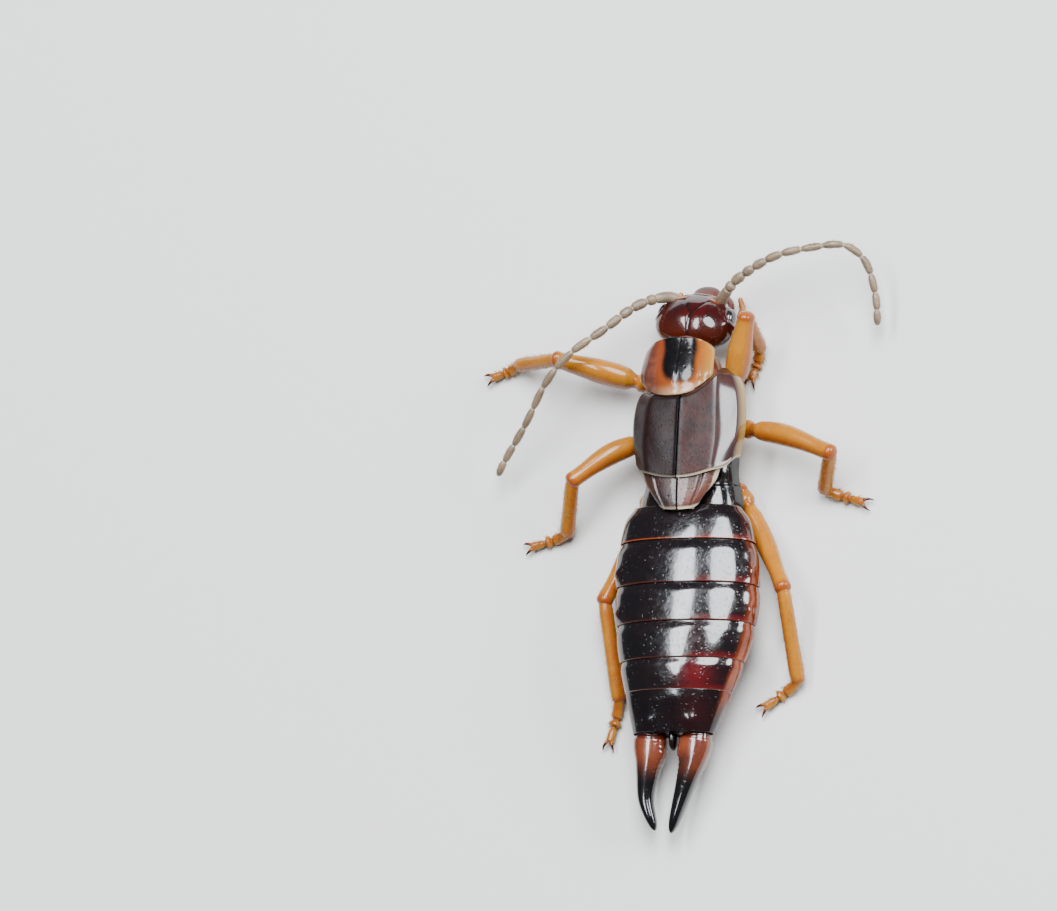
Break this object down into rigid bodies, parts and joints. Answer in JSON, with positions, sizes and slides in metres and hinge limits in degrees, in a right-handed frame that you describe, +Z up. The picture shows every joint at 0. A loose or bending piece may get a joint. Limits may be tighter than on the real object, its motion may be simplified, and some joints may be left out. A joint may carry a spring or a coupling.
{
  "type": "earwig",
  "caption": "Life-size still model of an adult female earwig standing on its feet, with beaded feelers, short wing cases and slender forceps.",
  "frame": {"origin": "on the floor, under the middle of the animal's box", "axes": "+Y to the head, +X to the animal's right, +Z up"},
  "size_m": [0.0116, 0.0162, 0.0023],
  "materials": {
    "head_shell": "wet gloss, deep maroon chitin",
    "eye_shell": "gloss black, finely faceted",
    "mouthparts": "satin, orange-brown chitin",
    "pronotum_shell": "wet gloss, near-black disc with amber margins",
    "thorax_flank": "satin, yellow-brown chitin",
    "wing_case": "satin, dull purple-brown with fine specks",
    "wing_tip": "satin, red-brown with a cream edge",
    "abdomen_shell": "wet gloss, black with red-brown ring edges",
    "forceps_shell": "wet gloss, chestnut with dark tips",
    "leg_shell": "satin, translucent amber chitin",
    "feeler": "matt, grey-brown with fine down"
  },
  "bodies": {
    "root": {"head": "head_shell", "eye_left": "eye_shell", "eye_right": "eye_shell", "labrum": "mouthparts", "mandible_left": "mouthparts", "mandible_right": "mouthparts", "palp_left": "mouthparts", "palp_right": "mouthparts", "prothorax": "thorax_flank", "pterothorax": "thorax_flank", "pronotum": "pronotum_shell", "abdomen": "abdomen_shell", "pygidium": "abdomen_shell", "elytron_left": "wing_case", "elytron_right": "wing_case", "wing_tip_left": "wing_tip", "wing_tip_right": "wing_tip", "forceps_left": "forceps_shell", "forceps_right": "forceps_shell", "antenna_left_base": "feeler", "antenna_left_mid": "feeler", "antenna_left_tip": "feeler", "antenna_right_base": "feeler", "antenna_right_mid": "feeler", "antenna_right_tip": "feeler", "coxa_front_left": "leg_shell", "femur_front_left": "leg_shell", "tibia_front_left": "leg_shell", "tarsus_front_left": "leg_shell", "coxa_front_right": "leg_shell", "femur_front_right": "leg_shell", "tibia_front_right": "leg_shell", "tarsus_front_right": "leg_shell", "coxa_mid_left": "leg_shell", "femur_mid_left": "leg_shell", "tibia_mid_left": "leg_shell", "tarsus_mid_left": "leg_shell", "coxa_mid_right": "leg_shell", "femur_mid_right": "leg_shell", "tibia_mid_right": "leg_shell", "tarsus_mid_right": "leg_shell", "coxa_hind_left": "leg_shell", "femur_hind_left": "leg_shell", "tibia_hind_left": "leg_shell", "tarsus_hind_left": "leg_shell", "coxa_hind_right": "leg_shell", "femur_hind_right": "leg_shell", "tibia_hind_right": "leg_shell", "tarsus_hind_right": "leg_shell"}
  },
  "joints": []
}
